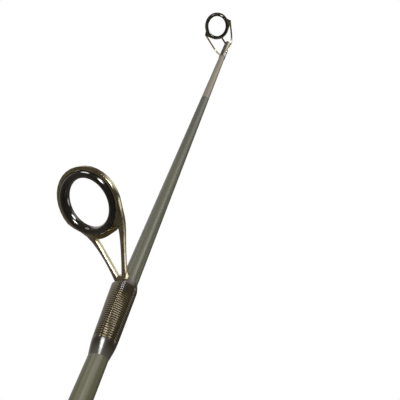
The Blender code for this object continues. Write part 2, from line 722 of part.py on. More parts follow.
def sleeve(name, near, far, turns, sides, corner, outside, inside, bore_stations):
    """A sleeve between two places on the rod with a ridge for each turn outside. Its sections change from
    the foot's shape to the blank's, so its faces are built ring by ring. Over a foot, one pair of corners
    follows the foot's own, whose angle from straight down is given for each place."""
    low, high = min(near, far), max(near, far)
    pitch = (high - low) / turns
    spares = [(low, 0.5 * THREAD_DEPTH)]
    for turn in range(turns):
        if turn:
            spares.append((low + turn * pitch, THREAD_DEPTH - TURN_RELIEF))
        spares.append((low + (turn + 0.5) * pitch, THREAD_DEPTH))
    spares.append((high, 0.5 * THREAD_DEPTH))
    step = 2.0 * math.pi / sides
    corner_index = max(round(corner(near) / step), 1) if corner else 0
    middle = (low + high) / 2.0
    shape = bmesh.new()

    def ring(x, radius_at, spare):
        made = []
        corner_angle = corner(x) if corner else None
        for i in range(sides):
            angle = i * step if i <= sides / 2 else (i - sides) * step
            if corner_angle is not None and abs(round(angle / step)) == corner_index:
                angle = math.copysign(corner_angle, angle)
            radius = radius_at(x, angle) + spare
            made.append(shape.verts.new((x - middle, radius * math.sin(angle), -radius * math.cos(angle))))
        return made

    rings = [ring(x, outside, spare) for x, spare in spares]
    rings += [ring(x, inside, 0.0) for x in sorted(bore_stations, reverse=True)]
    for i, one in enumerate(rings):
        other = rings[(i + 1) % len(rings)]
        for j in range(sides):
            k = (j + 1) % sides
            shape.faces.new((one[j], one[k], other[k], other[j]))
    bmesh.ops.recalc_face_normals(shape, faces=shape.faces)
    data = bpy.data.meshes.new(name)
    shape.to_mesh(data)
    shape.free()
    obj = link(bpy.data.objects.new(name, data), "thread")
    obj.location = (middle, 0.0, AXIS_Z)
    return smooth(obj, 50.0)


def butt_blank():
    """Hollow blank of the butt section, whose top end fits into the tip section."""
    stations = (JOINT_X + FERRULE_OVERLAP, JOINT_X, BUTT_X + BUTT_CAP_FLOOR + END_GAP)
    outer = [(x, butt_radius(x)) for x in stations]
    inner = [(x, butt_radius(x) - BUTT_WALL) for x in stations]
    return turned("butt_blank", outer, inner, MEDIUM_SEGMENTS, "carbon")


def fitted_bore(near, far):
    """Inner profile of a piece that is glued on the butt blank."""
    return [(x, butt_radius(x) + GLUE_GAP) for x in (near, far)]


def butt_cap():
    """Moulded cap over the blank's end, dished round its edge."""
    rear = BUTT_X
    front = BUTT_X + BUTT_CAP_LENGTH
    floor = BUTT_X + BUTT_CAP_FLOOR
    bore = butt_radius(floor) + GLUE_GAP
    radius = BUTT_GRIP_REAR_RADIUS + BUTT_CAP_LIP
    profile = [
        (floor, 0.0),
        (floor, bore),
        (front, bore),
        (front, BUTT_GRIP_REAR_RADIUS),
        (front - 3.0 * BUTT_CAP_LIP, radius),
        (rear + BUTT_CAP_DISH, radius),
        (rear + 0.3 * BUTT_CAP_DISH, radius - 0.35 * BUTT_CAP_DISH),
        (rear, radius - BUTT_CAP_DISH),
        (rear, 0.0),
    ]
    return turned("butt_cap", profile, [], FINE_SEGMENTS, "rubber", rear)


def grip(name, rear, front, rear_radius, front_radius, waist):
    """A turned foam grip with a soft waist and rounded ends."""
    outer = [(front, front_radius - GRIP_ROUNDING)]
    for i in range(GRIP_STATIONS + 1):
        share = i / GRIP_STATIONS
        x = front - GRIP_ROUNDING + (rear + 2.0 * GRIP_ROUNDING - front) * share
        radius = front_radius + (rear_radius - front_radius) * share
        outer.append((x, radius - waist * math.sin(math.pi * share) ** 2))
    outer.append((rear, rear_radius - GRIP_ROUNDING))
    return turned(name, outer, fitted_bore(front, rear), FINE_SEGMENTS, "foam", rear)


def trim(name, rear, front, grip_radius):
    """A thin metal trim that steps down from a grip's end to the blank."""
    radius = grip_radius - TRIM_STEP
    outer = [
        (front, butt_radius(front) + TRIM_WALL),
        (rear + TRIM_LAND, radius),
        (rear, radius),
    ]
    return turned(name, outer, fitted_bore(front, rear), FINE_SEGMENTS, "steel", rear)


def butt_handle():
    """Butt cap, grip and the collar that finishes it."""
    rear = BUTT_X + BUTT_CAP_LENGTH + FACE_GAP
    front = rear + BUTT_GRIP_LENGTH
    butt_cap()
    grip("butt_grip", rear, front, BUTT_GRIP_REAR_RADIUS, BUTT_GRIP_FRONT_RADIUS, BUTT_GRIP_WAIST)
    collar_rear = front + FACE_GAP
    trim("butt_collar", collar_rear, collar_rear + COLLAR_LENGTH, BUTT_GRIP_FRONT_RADIUS)


def front_handle():
    """Foregrip between the reel seat and the winding check."""
    rear = SEAT_FRONT + FACE_GAP
    front = rear + FOREGRIP_LENGTH
    grip("foregrip", rear, front, FOREGRIP_REAR_RADIUS, FOREGRIP_FRONT_RADIUS, FOREGRIP_WAIST)
    check_rear = front + FACE_GAP
    trim("winding_check", check_rear, check_rear + CHECK_LENGTH, FOREGRIP_FRONT_RADIUS)


def box(name, low, high, rounding=0.0, key=None):
    """A block between two corners, in the rod's own coordinates. Without a finish it is a cutter."""
    shape = bmesh.new()
    bmesh.ops.create_cube(shape, size=1.0)
    centre = [(a + b) / 2.0 for a, b in zip(low, high)]
    for corner in shape.verts:
        corner.co = [c * (b - a) for c, a, b in zip(corner.co, low, high)]
    data = bpy.data.meshes.new(name)
    shape.to_mesh(data)
    shape.free()
    obj = link(bpy.data.objects.new(name, data), key)
    obj.location = centre
    if rounding:
        edges = obj.modifiers.new("round", "BEVEL")
        edges.width = rounding
        edges.segments = 3
        edges.limit_method = "ANGLE"
    return obj


def seat_tube():
    """Tube of the reel seat, with a flat bed for the reel's foot along its underside."""
    bore = SEAT_RADIUS - SEAT_WALL
    thread = SEAT_RADIUS - SEAT_THREAD_RELIEF
    flange = SEAT_RADIUS + SEAT_FLANGE
    flange_front = -SEAT_REAR + SEAT_FLANGE_LENGTH
    outer = [
        (SEAT_FRONT, thread),
        (THREAD_START, thread),
        (THREAD_START - SEAT_THREAD_RELIEF, SEAT_RADIUS),
        (flange_front, SEAT_RADIUS),
        (flange_front - SEAT_FLANGE, flange),
        (-SEAT_REAR + SEAT_FLANGE, flange),
        (-SEAT_REAR, SEAT_RADIUS),
    ]
    inner = [(SEAT_FRONT, bore), (-SEAT_REAR, bore)]
    tube = turned("seat_tube", outer, inner, FINE_SEGMENTS, "seat")
    reach = HOOD_MOUTH + POCKET_DEPTH
    low = (-reach, -SEAT_RADIUS, -SEAT_RADIUS)
    high = (reach, SEAT_RADIUS, 0.0)
    return combine(tube, box("bed_cutter", low, high), "DIFFERENCE")


def seat_arbors():
    """Two rings that centre the seat on the tapered blank."""
    outer_radius = SEAT_RADIUS - SEAT_WALL - GLUE_GAP
    rear = -SEAT_REAR + ARBOR_INSET
    front = SEAT_FRONT - ARBOR_INSET - ARBOR_LENGTH
    for name, start in (("rear_arbor", rear), ("front_arbor", front)):
        end = start + ARBOR_LENGTH
        outer = [(end, outer_radius), (start, outer_radius)]
        turned(name, outer, fitted_bore(end, start), FINE_SEGMENTS, "liner", start)


def hood(name, mouth, way, bore):
    """A hood whose pocket, open towards the middle of the seat, holds one end of the reel's foot. The way
    is +1 where the hood runs from its mouth towards the tip."""
    back = mouth + way * HOOD_LENGTH
    front, rear = max(mouth, back), min(mouth, back)
    radius = SEAT_RADIUS + HOOD_COLLAR_WALL
    collar = [
        (front, radius - HOOD_CHAMFER),
        (front - HOOD_CHAMFER, radius),
        (rear + HOOD_CHAMFER, radius),
        (rear, radius - HOOD_CHAMFER),
    ]
    body = turned(name, collar, [(front, bore), (rear, bore)], FINE_SEGMENTS, "gunmetal")
    half_width = POCKET_HALF_WIDTH + HOOD_SIDE_WALL
    low = (rear + END_GAP, -half_width, -POCKET_HEIGHT - HOOD_ROOF)
    high = (front - END_GAP, half_width, AXIS_Z)
    combine(body, box(name + "_block", low, high, HOOD_ROUNDING), "UNION")
    ends = (front + HOOD_LENGTH, rear - HOOD_LENGTH)
    room = [(ends[0], 0.0), (ends[0], bore), (ends[1], bore), (ends[1], 0.0)]
    combine(body, turned(name + "_room", room, [], FINE_SEGMENTS), "DIFFERENCE")
    inside = mouth + way * POCKET_DEPTH
    outside = mouth - way * POCKET_DEPTH
    low = (min(inside, outside), -POCKET_HALF_WIDTH, -POCKET_HEIGHT)
    high = (max(inside, outside), POCKET_HALF_WIDTH, BED_CUT)
    combine(body, box(name + "_pocket", low, high, POCKET_ROUNDING), "DIFFERENCE")
    return body


def hood_liner(name, mouth, way):
    """Cushion under the pocket's roof."""
    start = mouth + way * LINER_INSET
    end = mouth + way * (POCKET_DEPTH - POCKET_ROUNDING)
    half = POCKET_HALF_WIDTH - POCKET_ROUNDING
    low = (min(start, end), -half, -POCKET_HEIGHT + GLUE_GAP)
    high = (max(start, end), half, -POCKET_HEIGHT + GLUE_GAP + LINER_THICKNESS)
    return box(name, low, high, 0.0, "liner")


def lock_nut(rear):
    """Fluted nut that draws the sliding hood along the seat."""
    bore = SEAT_RADIUS - SEAT_THREAD_RELIEF + SLIDING_GAP
    outer_radius = SEAT_RADIUS + NUT_WALL
    count = 2 * NUT_FLUTES
    outline = []
    for i in range(count):
        angle = 2.0 * math.pi * i / count
        radius = outer_radius if i % 2 else outer_radius - NUT_FLUTE_DEPTH
        outline.append((radius * math.cos(angle), radius * math.sin(angle)))
    nut = plate("lock_nut", [outline, circle(bore, FINE_SEGMENTS)], NUT_LENGTH, "gunmetal")
    return along_rod(nut, rear + NUT_LENGTH / 2.0)


def reel_seat():
    """Seat tube, its arbors, both hoods and the nut."""
    seat_tube()
    seat_arbors()
    hood("fixed_hood", -HOOD_MOUTH, -1.0, SEAT_RADIUS + GLUE_GAP)
    hood_liner("fixed_hood_liner", -HOOD_MOUTH, -1.0)
    hood("sliding_hood", HOOD_MOUTH, 1.0, SEAT_RADIUS + SLIDING_GAP)
    hood_liner("sliding_hood_liner", HOOD_MOUTH, 1.0)
    lock_nut(HOOD_MOUTH + HOOD_LENGTH + END_GAP)


def main():
    clear_scene()
    butt_blank()
    butt_handle()
    reel_seat()
    front_handle()
    tip_blank()
    solid_tip()
    tip_tube()
    tip_ring()
    ferrule_whipping()
    for spec in RING_TABLE:
        guide(spec)
    bpy.context.view_layer.update()


main()
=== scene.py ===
"""Finish of a two-piece carp rod: each piece of its frame gets its fine shape and its material.

It is laid out as a Blender add-on. Its panel lists one operator for each group of pieces and one for the
stage. Run as a script, it dresses the whole rod, which lies along X with its line rings below it.
"""
import json
import math

import bmesh
import bpy
import numpy as np
from bpy.props import FloatProperty, FloatVectorProperty, IntProperty, PointerProperty
from mathutils import Matrix, Vector
from mathutils.bvhtree import BVHTree

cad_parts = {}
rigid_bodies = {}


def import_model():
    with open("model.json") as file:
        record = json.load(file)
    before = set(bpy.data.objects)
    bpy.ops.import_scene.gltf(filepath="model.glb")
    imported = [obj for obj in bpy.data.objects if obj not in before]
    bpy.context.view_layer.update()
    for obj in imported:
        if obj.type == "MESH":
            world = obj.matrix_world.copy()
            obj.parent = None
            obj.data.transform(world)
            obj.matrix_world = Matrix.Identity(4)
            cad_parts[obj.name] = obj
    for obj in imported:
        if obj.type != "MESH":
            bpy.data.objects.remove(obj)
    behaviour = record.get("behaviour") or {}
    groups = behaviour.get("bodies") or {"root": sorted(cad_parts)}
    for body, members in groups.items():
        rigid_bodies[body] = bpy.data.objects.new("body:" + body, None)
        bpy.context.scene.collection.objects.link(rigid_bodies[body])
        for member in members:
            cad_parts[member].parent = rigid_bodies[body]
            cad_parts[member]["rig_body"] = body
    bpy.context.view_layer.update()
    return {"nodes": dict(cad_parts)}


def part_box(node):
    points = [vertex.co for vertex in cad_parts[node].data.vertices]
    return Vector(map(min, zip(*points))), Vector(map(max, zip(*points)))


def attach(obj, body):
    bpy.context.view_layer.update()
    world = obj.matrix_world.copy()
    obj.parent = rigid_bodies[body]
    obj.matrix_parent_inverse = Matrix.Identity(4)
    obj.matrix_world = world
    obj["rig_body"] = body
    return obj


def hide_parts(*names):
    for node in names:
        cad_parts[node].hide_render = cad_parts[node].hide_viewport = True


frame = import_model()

bl_info = {
    "name": "Carp rod finish",
    "version": (1, 0, 0),
    "blender": (4, 5, 0),
    "location": "View3D > Sidebar > Carp rod",
    "description": "Fine shapes and materials for a two-piece carp rod, and its studio",
    "category": "Object",
}

MM = 0.001

# Points of a mesh closer than this are one, and points of a turned node this near to a plane lie in it
WELD = 0.002 * MM
IN_PLANE = 0.003 * MM

# Bends in degrees. Below the first a surface is flat. Above the others they are edges to round, on a stamped
# or moulded piece and on a turned one, each in so many steps.
FLAT_ANGLE = 0.6
EDGE_ANGLE = 32.0
EDGE_STEPS = 2
TURNED_EDGE_ANGLE = 20.0
TURNED_EDGE_STEPS = 3

# Bends in degrees above which the shading is sharp: on most pieces, on the stamped frames and on the
# whippings
SHARP_ANGLE = 40.0
FRAME_SHARP_ANGLE = 62.0
SLEEVE_SHARP_ANGLE = 75.0

# Roundings of the handle's edges, as multiples of a stamped edge's
SOFT_EDGE = 4.0
MOULDED_EDGE = 2.0
TURNED_EDGE = 1.5

# Steps round a whipping, sections of its surface to each turn of the thread and over each run of resin, and
# sections at which its CAD node is measured, the first and last of them this far inside its ends
SLEEVE_STEPS = 72
TURN_STATIONS = 8
RESIN_STATIONS = 12
MEASURED_SECTIONS = 48
MEASURED_INSET = 0.05 * MM

# A CAD whipping is measured from this far outside the axis, and its ribs are smoothed away in so many
# rounds, along it and round it
MEASURING_REACH = 40.0 * MM
ALONG_ROUNDS = 6
AROUND_ROUNDS = 2

# The resin falls away by this power of its run, and ends this far below the bare blank
RESIN_FALL = 1.3
RESIN_SINK = 0.04 * MM

# Two blanks' profiles meet within this
PROFILE_REACH = 0.05 * MM

# Side on which the turns show in the resin, as an angle from straight down, and the two cosines of the angle
# from it between which they fade in
TURN_SIDE = 1.13
TURN_FADE = (0.4, 0.65)

# Where the resin's bead stands: its distance behind the legs in its half lengths, its angle from straight
# down and its half width round the rod, and the share of its height above which it is clear resin
BEAD_BACK = 0.6
BEAD_ANGLE = 0.7
BEAD_TURN = 0.34
BEAD_CLEAR = 0.35

# Screw of the reel seat: its start before the nut, its end before the seat's, the radius and the depth below
# it from which its ridges rise, how steeply they rise, the end of the flat bed and the depth below that
SCREW_BEFORE_NUT = 22.0 * MM
SCREW_END_GAP = 0.4 * MM
SCREW_RADIUS = 8.95 * MM
SCREW_SINK = 0.05 * MM
SCREW_RISE = 1.6
SCREW_STATIONS = 400
SCREW_STEPS = 96
BED_END = 39.0 * MM
BED_SINK = 0.02 * MM

AXIS_Z = sum(corner.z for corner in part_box("tip_blank")) / 2.0
BLANKS = ("solid_tip", "tip_blank", "butt_blank")
RINGS = ("tip_ring", "guide_1_ring", "guide_2_ring", "guide_3_ring", "guide_4_ring", "guide_5_ring")
WHIPPINGS = (
    ("guide_1_whipping", 1),
    ("guide_2_whipping", 1),
    ("guide_3_whipping", 1),
    ("guide_4_front_whipping", -1),
    ("guide_4_rear_whipping", 1),
    ("guide_5_front_whipping", -1),
    ("guide_5_rear_whipping", 1),
    ("ferrule_whipping", 1),
)

# Where the photograph was taken from
CAMERA_PLACE = (2.14278, 0.03963, -0.02358)
CAMERA_TURN = tuple(math.radians(angle) for angle in (-123.208, -29.780, 78.339))
CAMERA_LENS = 31.5
SENSOR_WIDTH = 36.0

# Ways towards the softboxes, the matt wash and the fill
HIGH_WAY = Vector((0.45, -0.13, -0.88))
MIDDLE_WAY = Vector((0.10, 0.67, -0.73))
SIDE_WAY = Vector((0.57, 0.79, -0.22))
WASH_WAY = Vector((0.45, 0.55, -0.70))
FILL_WAY = Vector((0.2, -0.55, 0.8))

# The room as gloss sees it: pale reflectors in a dim warm room. Each has its way, the two cosines of an angle
# from it between which it goes from dark to lit, and its brightness. The wall goes from its dark to its pale
# side between two such cosines.
REFLECTORS = (
    (Vector((0.60, -0.78, -0.20)), (0.83, 0.94), 0.9),
    (Vector((0.92, 0.38, 0.10)), (0.92, 1.0), 0.9),
    (Vector((0.52, 0.51, 0.68)), (0.97, 0.99), 1.6),
)
WALL_WAY = Vector((0.3, -0.9, 0.2))
WALL_EDGE = (-0.5, 0.95)
WALL_TINT = (1.0, 0.88, 0.74)

# A speck in the blank's clear coat
SPECK_PLACE = (2.21704, 0.00087, 0.00737)
SPECK_SIZE = 0.42 * MM

# Spacing of the faint marks that the wrapping tape leaves on a blank
TAPE_PITCH = 3.1 * MM

# Lengths over which the blank turns olive behind the glass tip, and over which the glass keeps its colour
OLIVE_RUN = 0.10
GLASS_RUN = 0.05

# The floor's half width and its middle along the rod
FLOOR_REACH = 6.0
FLOOR_MIDDLE = 0.9


class RodSizes(bpy.types.PropertyGroup):
    """Sizes of the fine shapes."""

    turn_steps: IntProperty(name="Turned steps", description="Steps round a turned piece", default=96)
    section_steps: IntProperty(name="Ring section steps", description="Steps round a ring's section",
                               default=32)
    edge: FloatProperty(name="Edge rounding", description="Rounding of stamped and turned edges",
                        default=0.12 * MM, subtype="DISTANCE", unit="LENGTH", precision=5)
    resin_depth: FloatProperty(name="Resin depth", description="Depth of clear resin over the thread",
                               default=0.14 * MM, subtype="DISTANCE", unit="LENGTH", precision=5)
    resin_tail: FloatProperty(name="Resin tail", description="Length of resin past the thread",
                              default=2.6 * MM, subtype="DISTANCE", unit="LENGTH", precision=5)
    resin_heel: FloatProperty(name="Resin heel", description="Length of resin under a ring's legs",
                              default=1.6 * MM, subtype="DISTANCE", unit="LENGTH", precision=5)
    bead_depth: FloatProperty(name="Resin bead", description="Height of the resin's bead behind the legs",
                              default=0.15 * MM, subtype="DISTANCE", unit="LENGTH", precision=5)
    bead_width: FloatProperty(name="Bead width", description="Half length of the resin's bead",
                              default=1.0 * MM, subtype="DISTANCE", unit="LENGTH", precision=5)
    turn_depth: FloatProperty(name="Turn depth", description="Depth of the grooves between the turns",
                              default=0.038 * MM, subtype="DISTANCE", unit="LENGTH", precision=5)
    thread_pitch: FloatProperty(name="Thread pitch", description="Spacing of the whipping's turns",
                                default=0.34 * MM, subtype="DISTANCE", unit="LENGTH", precision=5)
    seat_pitch: FloatProperty(name="Seat thread pitch", description="Pitch of the reel seat's screw",
                              default=2.0 * MM, subtype="DISTANCE", unit="LENGTH", precision=5)
    seat_relief: FloatProperty(name="Seat thread height", description="Height of the screw's ridges",
                               default=0.2 * MM, subtype="DISTANCE", unit="LENGTH", precision=5)


def colour(name, description, default):
    """A colour that a user can change."""
    return FloatVectorProperty(name=name, description=description, default=default, size=3,
                               subtype="COLOR", min=0.0, max=1.0)


class RodColours(bpy.types.PropertyGroup):
    """Colours of the finishes, in linear light."""

    ceramic: colour("Ceramic", "Polished black ceramic of the line rings", (0.012, 0.011, 0.007))
    plating: colour("Plating", "Warm plating of the ring frames", (0.70, 0.65, 0.45))
    plating_shade: colour("Plating shade", "Darker patches of the plating", (0.48, 0.42, 0.27))
    steel: colour("Steel", "Drawn tube and turned trims", (0.66, 0.65, 0.60))
    dark_steel: colour("Dark steel", "Trims and nut of the handle", (0.20, 0.19, 0.175))
    glass_tip: colour("Glass tip", "Solid glass tip", (0.27, 0.235, 0.175))
    blank: colour("Blank", "Hollow carbon blank", (0.102, 0.105, 0.085))
    blank_butt: colour("Blank butt", "Carbon blank towards the butt", (0.108, 0.104, 0.045))
    # The thread's colour between its ridges is painted shade: the grooves between the whipping's turns are
    # coloured darker than the thread's own colour on its ridges
    thread: colour("Thread", "Whipping thread between its ridges", (0.012, 0.009, 0.004))
    thread_ridge: colour("Thread ridge", "Whipping thread on its ridges", (0.05, 0.04, 0.018))
    resin: colour("Resin", "Resin past the thread, over the bare blank", (0.022, 0.017, 0.011))
    resin_stain: colour("Resin stain", "Brown clouds in the resin", (0.055, 0.028, 0.014))
    speck: colour("Speck", "Speck in the blank's clear coat", (0.12, 0.11, 0.035))
    seat: colour("Seat", "Moulded reel seat", (0.018, 0.018, 0.019))
    foam: colour("Foam", "Closed-cell foam of the grips", (0.022, 0.022, 0.022))
    rubber: colour("Rubber", "Butt cap and hood cushions", (0.02, 0.02, 0.02))


class RodStudio(bpy.types.PropertyGroup):
    """Studio round the rod."""

    ambient: FloatProperty(name="Ambient", description="Even light from all round", default=0.14)
    wall: FloatVectorProperty(name="Wall", description="Brightness in gloss of the wall's dark and pale side",
                              default=(0.04, 0.15), size=2)
    high_lamp: FloatProperty(name="High softbox", description="Strength of the high softbox", default=0.5)
    middle_lamp: FloatProperty(name="Middle softbox", description="Strength of the middle softbox",
                               default=0.9)
    side_lamp: FloatProperty(name="Side softbox", description="Strength of the side softbox", default=0.9)
    core_lamp: FloatProperty(name="Core", description="Strength of the middle softbox's bright core",
                             default=0.4)
    wash: FloatProperty(name="Wash", description="Strength of the matt light in front", default=0.8)
    lamp_spread: FloatProperty(name="Softbox width", description="Width of a softbox as seen from the rod",
                               default=math.radians(22.0), subtype="ANGLE", unit="ROTATION")
    core_spread: FloatProperty(name="Core width", description="Width of the bright core from the rod",
                               default=math.radians(9.0), subtype="ANGLE", unit="ROTATION")
    wash_spread: FloatProperty(name="Wash width", description="Width of the matt light as seen from the rod",
                               default=math.radians(48.0), subtype="ANGLE", unit="ROTATION")
    fill: FloatProperty(name="Fill", description="Strength of the wide fill on the far side", default=1.4)
    fill_spread: FloatProperty(name="Fill width", description="Width of the fill as seen from the rod",
                               default=math.radians(70.0), subtype="ANGLE", unit="ROTATION")
    floor_colour: colour("Floor colour", "Pale floor", (0.86, 0.86, 0.85))
    floor_glow: FloatProperty(name="Floor glow", description="Even light of the floor itself", default=0.42)
    floor_drop: FloatProperty(name="Floor", description="Height of the floor below the reel seat",
                              default=1.6, subtype="DISTANCE", unit="LENGTH")


def put(tree, kind, feeds=None, **settings):
    """Adds a shader node, with its settings and with its inputs joined or set."""
    node = tree.nodes.new(kind)
    for key, value in settings.items():
        setattr(node, key, value)
    for socket, value in (feeds or {}).items():
        if isinstance(value, bpy.types.NodeSocket):
            tree.links.new(value, node.inputs[socket])
        else:
            node.inputs[socket].default_value = value
    return node


def figure(tree, operation, first, second=0.0):
    """A math node's result."""
    return put(tree, "ShaderNodeMath", {0: first, 1: second}, operation=operation).outputs[0]


def finish(name, base, roughness, metallic=0.0, sockets=None):
    """A material whose even values stand on the shader's own sockets."""
    material = bpy.data.materials.new(name)
    material.use_nodes = True
    tree = material.node_tree
    shader = tree.nodes["Principled BSDF"]
    values = {"Base Color": (*base, 1.0), "Roughness": roughness, "Metallic": metallic, **(sockets or {})}
    for socket, value in values.items():
        shader.inputs[socket].default_value = value
    return material, tree, shader


def grain(tree, scale, stretch=(1.0, 1.0, 1.0), detail=4.0):
    """Noise on the piece's own coordinates, drawn out along one of them."""
    place = put(tree, "ShaderNodeTexCoord").outputs["Object"]
    laid = put(tree, "ShaderNodeMapping", {"Vector": place, "Scale": stretch}).outputs["Vector"]
    return put(tree, "ShaderNodeTexNoise", {"Vector": laid, "Scale": scale, "Detail": detail}).outputs["Fac"]


def spread(tree, value, low, high, start=0.3, end=0.7):
    """A texture's middle range drawn out between two values."""
    feeds = {"Value": value, "From Min": start, "From Max": end, "To Min": low, "To Max": high}
    return put(tree, "ShaderNodeMapRange", feeds).outputs["Result"]


def blended(tree, share, first, second):
    """Two colours mixed by a share."""
    node = put(tree, "ShaderNodeMix", {"Factor": share}, data_type="RGBA")
    for socket, value in ((node.inputs[6], first), (node.inputs[7], second)):
        if isinstance(value, bpy.types.NodeSocket):
            tree.links.new(value, socket)
        else:
            socket.default_value = (*value, 1.0)
    return node.outputs[2]


def relief(tree, shader, height, distance, strength):
    """Bump from a height, on the shader's base layer."""
    feeds = {"Height": height, "Distance": distance, "Strength": strength}
    tree.links.new(put(tree, "ShaderNodeBump", feeds).outputs["Normal"], shader.inputs["Normal"])


def feed(tree, shader, socket, value):
    """Joins a node's result to one of the shader's sockets."""
    tree.links.new(value, shader.inputs[socket])


def toned(base, share):
    """A colour made darker or paler."""
    return tuple(share * part for part in base)


def ceramic_finish(colours):
    """Polished ceramic, with the faintest lapping haze."""
    material, tree, shader = finish("black_ceramic", colours.ceramic, roughness=0.05, sockets={"IOR": 2.4})
    feed(tree, shader, "Roughness", spread(tree, grain(tree, scale=900.0), low=0.09, high=0.14))
    return material


def plating_finish(colours):
    """Bright warm plating over stamped steel, with faint brushing and darker patches."""
    material, tree, shader = finish("warm_plating", colours.plating, roughness=0.2, metallic=1.0)
    patches = spread(tree, grain(tree, scale=420.0), low=0.0, high=1.0, start=0.42, end=0.66)
    feed(tree, shader, "Base Color", blended(tree, patches, colours.plating, colours.plating_shade))
    feed(tree, shader, "Roughness", spread(tree, grain(tree, scale=1500.0), low=0.15, high=0.26))
    brushing = grain(tree, scale=2600.0, stretch=(0.2, 1.0, 1.0))
    relief(tree, shader, brushing, distance=0.01 * MM, strength=0.15)
    return material


def steel_finish(name, base, along):
    """Turned or drawn steel, with its fine lines drawn out along the rod or round it."""
    material, tree, shader = finish(name, base, roughness=0.25, metallic=1.0)
    lines = grain(tree, scale=3000.0, stretch=(0.06, 1.0, 1.0) if along else (1.0, 0.1, 0.1), detail=2.0)
    feed(tree, shader, "Roughness", spread(tree, lines, low=0.18, high=0.34))
    shade = spread(tree, lines, low=0.0, high=0.35)
    feed(tree, shader, "Base Color", blended(tree, shade, base, toned(base, 0.6)))
    relief(tree, shader, lines, distance=0.006 * MM, strength=0.4)
    return material


def speck_share(tree, place, centre, size):
    """1 within a small spot round a place, and 0 outside it."""
    gap = put(tree, "ShaderNodeVectorMath", {0: place, 1: centre}, operation="DISTANCE").outputs["Value"]
    return spread(tree, gap, low=1.0, high=0.0, start=0.6 * size, end=size)


def blank_finish(name, base, far_base, run, speck):
    """Satin clear coat over wrapped fibre: cloudy grain along the rod and faint wrapping marks round it. Its
    colour changes over a run between two places along the rod."""
    sockets = {"Coat Weight": 0.5, "Coat Roughness": 0.34}
    material, tree, shader = finish(name, base, roughness=0.5, sockets=sockets)
    place = put(tree, "ShaderNodeTexCoord").outputs["Object"]
    x = put(tree, "ShaderNodeSeparateXYZ", {"Vector": place}).outputs["X"]
    tone = blended(tree, spread(tree, x, low=1.0, high=0.0, start=run[0], end=run[1]), base, far_base)
    cloud = spread(tree, grain(tree, scale=160.0, stretch=(0.25, 1.0, 1.0), detail=5.0), low=0.0, high=0.4)
    tone = blended(tree, cloud, tone, toned(base, 0.72))
    tone = blended(tree, speck_share(tree, place, SPECK_PLACE, SPECK_SIZE), tone, speck)
    feed(tree, shader, "Base Color", tone)
    tape = figure(tree, "SINE", figure(tree, "MULTIPLY", x, 2.0 * math.pi / TAPE_PITCH))
    fibres = grain(tree, scale=2400.0, stretch=(0.1, 1.0, 1.0))
    height = figure(tree, "ADD", figure(tree, "MULTIPLY", tape, 0.12), fibres)
    relief(tree, shader, height, distance=0.006 * MM, strength=0.5)
    return material


def turn_phase(tree, place, pitch):
    """Turns counted along the rod, as on a screw: a place along it over the pitch, plus the share of a turn
    round it."""
    axes = put(tree, "ShaderNodeSeparateXYZ", {"Vector": place}).outputs
    below = figure(tree, "SUBTRACT", AXIS_Z, axes["Z"])
    share = figure(tree, "DIVIDE", figure(tree, "ARCTAN2", axes["Y"], below), 2.0 * math.pi)
    return figure(tree, "ADD", figure(tree, "DIVIDE", axes["X"], pitch), share)


def thread_finish(colours, sizes):
    """Dark olive thread under clear resin, with a gold gleam where its turns catch a lamp. Its colour is
    painted shade in the grooves between the turns, and in random patches the ridges take that painted shade
    too."""
    sockets = {"Coat Weight": 0.5, "Coat Roughness": 0.08, "Coat IOR": 1.54, "Specular IOR Level": 1.0,
               "Specular Tint": (1.0, 0.80, 0.42, 1.0)}
    material, tree, shader = finish("wound_thread", colours.thread_ridge, 0.3, metallic=0.1, sockets=sockets)
    place = put(tree, "ShaderNodeTexCoord").outputs["Object"]
    phase = turn_phase(tree, place, sizes.thread_pitch)
    ridge = figure(tree, "ABSOLUTE", figure(tree, "SINE", figure(tree, "MULTIPLY", phase, math.pi)))
    # Painted shade: the colour darkens into the grooves between the turns, and random patches darken the
    # ridges as well
    patchy_ridge_light = spread(tree, grain(tree, scale=900.0, stretch=(1.0, 0.35, 0.35)), low=0.45, high=1.0)
    share = figure(tree, "MULTIPLY", figure(tree, "POWER", ridge, 1.5), patchy_ridge_light)
    feed(tree, shader, "Base Color", blended(tree, share, colours.thread, colours.thread_ridge))
    fibres = grain(tree, scale=5200.0, stretch=(1.0, 0.12, 0.12), detail=3.0)
    feed(tree, shader, "Roughness", spread(tree, fibres, low=0.18, high=0.3))
    height = figure(tree, "ADD", ridge, figure(tree, "MULTIPLY", fibres, 0.12))
    relief(tree, shader, height, distance=0.3 * sizes.turn_depth, strength=0.9)
    return material


def resin_finish(colours):
    """Clear gloss resin over the bare blank, which shows dark and brown through it and in its own colour
    where the resin has run out."""
    sockets = {"Coat Weight": 1.0, "Coat Roughness": 0.04, "Coat IOR": 1.56}
    material, tree, shader = finish("gloss_resin", colours.resin, roughness=0.3, sockets=sockets)
    clouds = spread(tree, grain(tree, scale=500.0), low=0.0, high=0.6)
    tone = blended(tree, clouds, colours.resin, colours.resin_stain)
    run_out = put(tree, "ShaderNodeAttribute", attribute_name="run_out").outputs["Fac"]
    thin = spread(tree, run_out, low=0.0, high=0.9, start=0.25, end=0.9)
    feed(tree, shader, "Base Color", blended(tree, thin, tone, colours.blank))
    relief(tree, shader, grain(tree, scale=800.0), distance=0.02 * MM, strength=0.3)
    return material


def moulded_finish(name, base, roughness, scale, depth):
    """Moulded plastic or rubber with a fine spark-eroded grain."""
    material, tree, shader = finish(name, base, roughness)
    fine = grain(tree, scale, detail=6.0)
    feed(tree, shader, "Roughness", spread(tree, fine, low=roughness - 0.06, high=roughness + 0.08))
    relief(tree, shader, fine, depth, strength=0.6)
    return material


